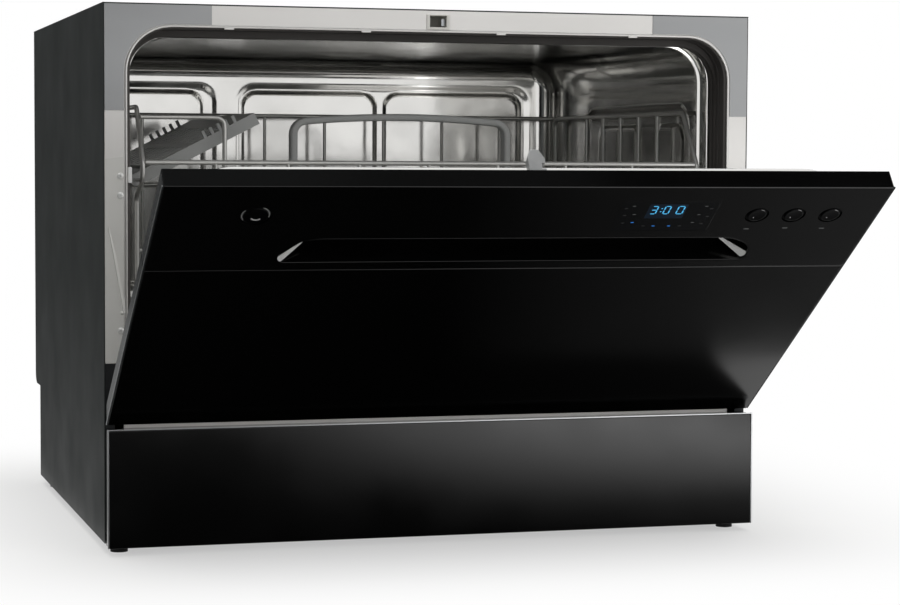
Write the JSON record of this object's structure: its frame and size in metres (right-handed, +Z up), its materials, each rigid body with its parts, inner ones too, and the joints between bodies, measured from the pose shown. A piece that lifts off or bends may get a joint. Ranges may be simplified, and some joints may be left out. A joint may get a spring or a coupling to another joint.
{
  "type": "countertop dishwasher",
  "caption": "Compact countertop dishwasher with a drop-down door, touch controls, wire dish rack, cutlery basket, fold-up cup shelf and rotating spray arm.",
  "frame": {"origin": "on the floor under the middle of the machine's outline, with the door standing part open as in the picture", "axes": "+X to the machine's right as seen from the front, +Y to its back, +Z up"},
  "size_m": [0.55, 0.7492, 0.438],
  "materials": {
    "casing_paint": "satin charcoal powder coat",
    "galvanised": "bare zinc-coated sheet",
    "frame_steel": "light satin steel",
    "corner_steel": "darker satin steel",
    "tub_steel": "bright polished stainless",
    "seal_rubber": "dark grey moulded seal",
    "gloss_black": "deep gloss black",
    "door_gloss": "gloss black enamelled sheet",
    "trim_aluminium": "satin bright edge",
    "foot_rubber": "black",
    "dark_plastic": "dark grey moulded",
    "bracket_steel": "black coated steel",
    "spring_steel": "plain steel",
    "grey_plastic": "mid grey moulded",
    "light_plastic": "light grey moulded",
    "pump_housing": "cast and painted",
    "inner_plastic": "inner moulding",
    "rack_wire": "grey coated steel wire",
    "display_glass": "smoked clear window",
    "circuit_board": "circuit board",
    "button_gloss": "gloss black cap"
  },
  "bodies": {
    "cabinet": {"base_tray": "dark_plastic", "left_side_panel": "casing_paint", "right_side_panel": "casing_paint", "top_panel": "casing_paint", "rear_panel": "galvanised", "tub": "tub_steel", "tub_floor": "tub_steel", "front_frame": "frame_steel", "corner_plates": "corner_steel", "tub_seal": "seal_rubber", "plinth": "gloss_black", "plinth_trim": "trim_aluminium", "feet": "foot_rubber", "hinge_brackets": "bracket_steel", "door_springs": "spring_steel", "latch_catch": "light_plastic", "sump": "inner_plastic", "wash_pump": "pump_housing", "drain_pump": "inner_plastic", "softener_tank": "light_plastic", "inlet_valve": "light_plastic", "drain_spigot": "dark_plastic", "cable_gland": "dark_plastic", "air_break": "light_plastic", "power_board": "inner_plastic", "casing_screws": "spring_steel", "spray_hub": "light_plastic", "filter_plate": "tub_steel"},
    "door": {"door_panel": "door_gloss", "control_panel": "gloss_black", "handle_pocket": "gloss_black", "door_liner": "tub_steel", "door_edge_trims": "trim_aluminium", "display_window": "display_glass", "display_board": "circuit_board", "hinge_arms": "spring_steel", "latch_hook": "light_plastic", "dispenser_body": "grey_plastic", "door_screws": "spring_steel"},
    "rack": {"rack_floor": "rack_wire", "rack_sides": "rack_wire", "rack_ends": "rack_wire", "plate_tines": "rack_wire", "cutlery_basket": "grey_plastic", "basket_handle": "grey_plastic"},
    "latch_bolt": {"latch_bolt": "spring_steel"},
    "salt_cap": {"salt_cap": "dark_plastic"},
    "spray_arm": {"spray_arm": "tub_steel"},
    "filter_cup": {"filter_cup": "dark_plastic"},
    "rack_wheel_1": {"rack_wheel_1": "grey_plastic"},
    "rack_wheel_2": {"rack_wheel_2": "grey_plastic"},
    "rack_wheel_3": {"rack_wheel_3": "grey_plastic"},
    "rack_wheel_4": {"rack_wheel_4": "grey_plastic"},
    "cup_shelf": {"cup_shelf": "grey_plastic"},
    "power_button": {"power_button": "button_gloss"},
    "programme_button_1": {"programme_button_1": "button_gloss"},
    "programme_button_2": {"programme_button_2": "button_gloss"},
    "programme_button_3": {"programme_button_3": "button_gloss"},
    "dispenser_lid": {"dispenser_lid": "grey_plastic"},
    "rinse_cap": {"rinse_cap": "dark_plastic"}
  },
  "joints": [
    {"name": "door_hinge", "type": "hinge", "parent": "cabinet", "child": "door", "pos_m": [0, -0.10759, 0.114], "axis": [1, 0, 0], "range_deg": [-54.5, 35.5], "deforming": ["door_springs"]},
    {"name": "rack_slide", "type": "slide", "parent": "cabinet", "child": "rack", "axis": [0, -1, 0], "range_m": [0, 0.07]},
    {"name": "cup_shelf_fold", "type": "hinge", "parent": "rack", "child": "cup_shelf", "pos_m": [-0.2395, -0.09659, 0.2975], "axis": [0, -1, 0], "range_deg": [-27, 38]},
    {"name": "spray_arm_spin", "type": "hinge", "parent": "cabinet", "child": "spray_arm", "pos_m": [0, 0.14341, 0.138], "axis": [0, 0, 1], "continuous": true},
    {"name": "salt_cap_turn", "type": "hinge", "parent": "cabinet", "child": "salt_cap", "pos_m": [-0.165, 0.02841, 0.1233], "axis": [0, 0, 1], "range_deg": [0, 270]},
    {"name": "filter_turn", "type": "hinge", "parent": "cabinet", "child": "filter_cup", "pos_m": [0, 0.09941, 0.1236], "axis": [0, 0, 1], "range_deg": [0, 40]},
    {"name": "latch_bolt_slide", "type": "slide", "parent": "cabinet", "child": "latch_bolt", "axis": [1, 0, 0], "range_m": [0, 0.004], "stiffness_N_per_m": 300, "springref_m": -0.002},
    {"name": "rack_wheel_1_spin", "type": "hinge", "parent": "rack", "child": "rack_wheel_1", "pos_m": [-0.2365, -0.01859, 0.1534], "axis": [1, 0, 0], "continuous": true},
    {"name": "rack_wheel_2_spin", "type": "hinge", "parent": "rack", "child": "rack_wheel_2", "pos_m": [0.2365, -0.01859, 0.1534], "axis": [1, 0, 0], "continuous": true},
    {"name": "rack_wheel_3_spin", "type": "hinge", "parent": "rack", "child": "rack_wheel_3", "pos_m": [-0.2365, 0.25841, 0.1534], "axis": [1, 0, 0], "continuous": true},
    {"name": "rack_wheel_4_spin", "type": "hinge", "parent": "rack", "child": "rack_wheel_4", "pos_m": [0.2365, 0.25841, 0.1534], "axis": [1, 0, 0], "continuous": true},
    {"name": "power_button_press", "type": "slide", "parent": "door", "child": "power_button", "axis": [0, 0.5807, 0.8141], "range_m": [0, 0.0015], "stiffness_N_per_m": 600, "springref_m": -0.001},
    {"name": "programme_button_1_press", "type": "slide", "parent": "door", "child": "programme_button_1", "axis": [0, 0.5807, 0.8141], "range_m": [0, 0.0015], "stiffness_N_per_m": 600, "springref_m": -0.001},
    {"name": "programme_button_2_press", "type": "slide", "parent": "door", "child": "programme_button_2", "axis": [0, 0.5807, 0.8141], "range_m": [0, 0.0015], "stiffness_N_per_m": 600, "springref_m": -0.001},
    {"name": "programme_button_3_press", "type": "slide", "parent": "door", "child": "programme_button_3", "axis": [0, 0.5807, 0.8141], "range_m": [0, 0.0015], "stiffness_N_per_m": 600, "springref_m": -0.001},
    {"name": "dispenser_lid_hinge", "type": "hinge", "parent": "door", "child": "dispenser_lid", "pos_m": [0, -0.17193, 0.19945], "axis": [-1, 0, 0], "range_deg": [0, 100]},
    {"name": "rinse_cap_turn", "type": "hinge", "parent": "door", "child": "rinse_cap", "pos_m": [0.058, -0.20193, 0.21937], "axis": [0, 0.5807, 0.8141], "range_deg": [0, 90]}
  ]
}
